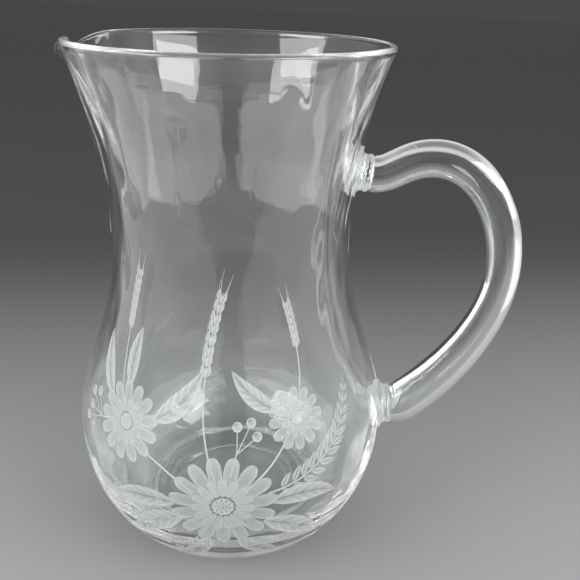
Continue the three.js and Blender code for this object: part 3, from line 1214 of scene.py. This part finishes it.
def camera_turn():
    """How the camera is turned, as its right, its up and its back in columns."""
    heading = CAMERA_YAW - CAMERA_SIDE
    level = Vector((math.cos(heading), -math.sin(heading), 0))
    ahead = Vector((math.sin(heading), math.cos(heading), 0))
    forward = math.cos(CAMERA_PITCH) * ahead - math.sin(CAMERA_PITCH) * Vector((0, 0, 1))
    right = math.cos(CAMERA_ROLL) * level + math.sin(CAMERA_ROLL) * level.cross(forward)
    up = right.cross(forward)
    return Matrix((right, up, -forward)).transposed()


def add_camera():
    data = bpy.data.cameras.new("camera")
    data.lens = LENS
    data.sensor_width = SENSOR
    data.clip_start = CLIP_START
    camera = add_object("camera", data)
    camera.rotation_euler = camera_turn().to_euler()
    camera.location = (
        CAMERA_DISTANCE * math.sin(CAMERA_SIDE),
        -CAMERA_DISTANCE * math.cos(CAMERA_SIDE),
        CAMERA_HEIGHT,
    )
    bpy.context.scene.camera = camera


def add_lamp(name, azimuth, elevation, distance, width, height, radiance):
    """A rectangular lamp that faces the middle of the pitcher, with its node tree."""
    data = bpy.data.lights.new(name, "AREA")
    data.shape = "RECTANGLE"
    data.size = width
    data.size_y = height
    data.energy = radiance * math.pi * width * height
    data.use_nodes = True
    lamp = add_object(name, data)
    a = math.radians(azimuth)
    e = math.radians(elevation)
    away = Vector((math.cos(a) * math.cos(e), math.sin(a) * math.cos(e), math.sin(e)))
    lamp.location = Vector((0, 0, LAMP_AIM)) + away * distance
    lamp.rotation_euler = away.to_track_quat("Z", "Y").to_euler()
    lamp.visible_camera = False
    return data.node_tree


def shine(tree, share):
    """Sets the share of a lamp's light that a ray meets."""
    link(tree, share, tree.nodes["Emission"].inputs["Strength"])


def add_softbox(name, azimuth, elevation, width):
    """A large lamp, which fades where the glass mirrors it more than once."""
    size = (width, SOFTBOX_HEIGHT)
    tree = add_lamp(name, azimuth, elevation, SOFTBOX_DISTANCE, *size, SOFTBOX_RADIANCE)
    shine(tree, ranged(tree, ray_path(tree)["Glossy Depth"], 1, 2, 1, SOFTBOX_AGAIN))


def add_card(name, azimuth, distance, width, radiance, outside):
    """A pale card that shows only where the glass mirrors it.

    A ray through the two faces of one wall meets the share of it for the outside of the pitcher.
    A ray through the four faces of two walls meets all of it."""
    tree = add_lamp(name, azimuth, 0, distance, width, CARD_HEIGHT, radiance)
    path = ray_path(tree)
    share = ranged(tree, path["Transmission Depth"], ONE_WALL, TWO_WALLS, outside, 1)
    shine(tree, product(tree, mirrored(tree, path), share))


def floor_material():
    """Pale under and before the pitcher, and darker behind it: painted shade, as if the light fell off
    there.
    """
    material, tree, shader = new_material("pale_floor")
    shader.inputs["Roughness"].default_value = FLOOR_ROUGHNESS
    place = tree.nodes.new("ShaderNodeTexCoord").outputs["Object"]
    behind = towards(tree, place, BACKWARD)
    fade = ranged(tree, behind, FLOOR_NEAR, FLOOR_FAR, ease="SMOOTHERSTEP")
    link(tree, two_colours(tree, fade, FLOOR_PALE, FLOOR_SHADE_GREY), shader.inputs["Base Color"])
    return material


def add_floor():
    mesh = bpy.data.meshes.new("floor")
    corners = [(x * FLOOR_REACH, y * FLOOR_REACH, 0) for x, y in ((-1, -1), (1, -1), (1, 1), (-1, 1))]
    mesh.from_pydata(corners, [], [(0, 1, 2, 3)])
    floor = add_object("floor", mesh)
    floor.location.z = -FLOOR_DROP
    mesh.materials.append(floor_material())


def overhead_light(tree, rise):
    """Light from above, brighter in a ring round the top."""
    sky = eased(tree, rise, SKY_RISE, 0, OVERHEAD)
    return product(tree, sky, eased(tree, rise, RING_FADE, 1 + RING_GLOW / OVERHEAD, 1))


def side_light(tree, rise, behind, aside):
    """A glow at both front sides, which shows only where the glass mirrors it."""
    return product(
        tree,
        eased(tree, behind, GLOW_BEHIND, 1, 0),
        eased(tree, aside, GLOW_ASIDE, 0, SIDE_GLOW),
        eased(tree, rise, GLOW_RISE),
        eased(tree, rise, GLOW_FADE, 1, 0),
        mirrored(tree, ray_path(tree)),
    )


def add_world():
    """Light from overhead and from both front sides, and a horizon that goes on from the floor."""
    world = bpy.data.worlds.new("studio")
    world.use_nodes = True
    tree = world.node_tree
    way = tree.nodes.new("ShaderNodeTexCoord").outputs["Generated"]
    rise = towards(tree, way, (0, 0, 1))
    behind = towards(tree, way, BACKWARD)
    aside = reckoned(tree, "ABSOLUTE", towards(tree, way, SIDEWARD))
    low = eased(tree, behind, HORIZON_TURN, LOW_FRONT, LOW_BACK)
    plain = reckoned(tree, "MAXIMUM", low, overhead_light(tree, rise))
    light = reckoned(tree, "ADD", plain, side_light(tree, rise, behind, aside))
    background = tree.nodes["Background"]
    link(tree, light, background.inputs["Strength"])
    background.inputs["Color"].default_value = (*DAYLIGHT, 1)
    bpy.context.scene.world = world


def settle_render():
    """Plain colours, and enough bounces for light that goes on and on in thick glass."""
    scene = bpy.context.scene
    scene.view_settings.view_transform = "Standard"
    scene.cycles.max_bounces = BOUNCES
    scene.cycles.transmission_bounces = BOUNCES
    scene.cycles.glossy_bounces = BOUNCES
    scene.cycles.transparent_max_bounces = CLEAR_BOUNCES
    scene.cycles.caustics_refractive = False
    scene.cycles.caustics_reflective = False


add_camera()
settle_render()
add_floor()
add_world()
add_softbox("left_softbox", azimuth=-143, elevation=28, width=0.85)
add_softbox("right_softbox", azimuth=-26, elevation=30, width=0.8)
add_card("left_card", azimuth=-141, distance=0.3, width=0.8, radiance=1.9, outside=0.27)
add_card("right_card", azimuth=-19, distance=0.32, width=0.75, radiance=1.7, outside=0.27)
add_card("left_side_card", azimuth=-208, distance=0.4, width=0.5, radiance=1.4, outside=0)
add_card("right_side_card", azimuth=50, distance=0.4, width=0.5, radiance=1.3, outside=0)

body_glass = glass_material(
    "body_glass", CLEAR_TINTS,
    wave_scale=22, wave_depth=0.00015, cord_scale=200, cord_depth=0.00003, cord_draw=0.05,
)
rod_glass = glass_material(
    "rod_glass", CLEAR_TINTS,
    wave_scale=50, wave_depth=0.0003, cord_scale=420, cord_depth=0.0001, cord_draw=0.03,
)
weld_glass = glass_material(
    "weld_glass", WELD_TINTS,
    wave_scale=260, wave_depth=0.001, cord_scale=500, cord_depth=0.00008, cord_draw=1,
)

add_piece(make_body(), body_glass, "body_glass", "body")
add_piece(make_handle(), rod_glass, "handle_glass", "handle")
add_piece(make_pad("upper_weld_gather", UPPER_WELD), weld_glass, "weld_glass", "upper_weld_pad")
add_piece(make_collar("upper_weld_ring", UPPER_WELD), weld_glass, "weld_glass", "upper_weld_collar")
add_piece(make_pad("lower_weld_gather", LOWER_WELD), weld_glass, "weld_glass", "lower_weld_pad")
add_piece(make_collar("lower_weld_ring", LOWER_WELD), weld_glass, "weld_glass", "lower_weld_collar")
frost_and_painted_highlight = frost_material()
# The white line on the bead's crest is a painted highlight
add_piece(make_painted_highlight_ring(), frost_and_painted_highlight, "body_glass")
for etched in etching_pieces():
    add_piece(etched, frost_and_painted_highlight, "body_glass")
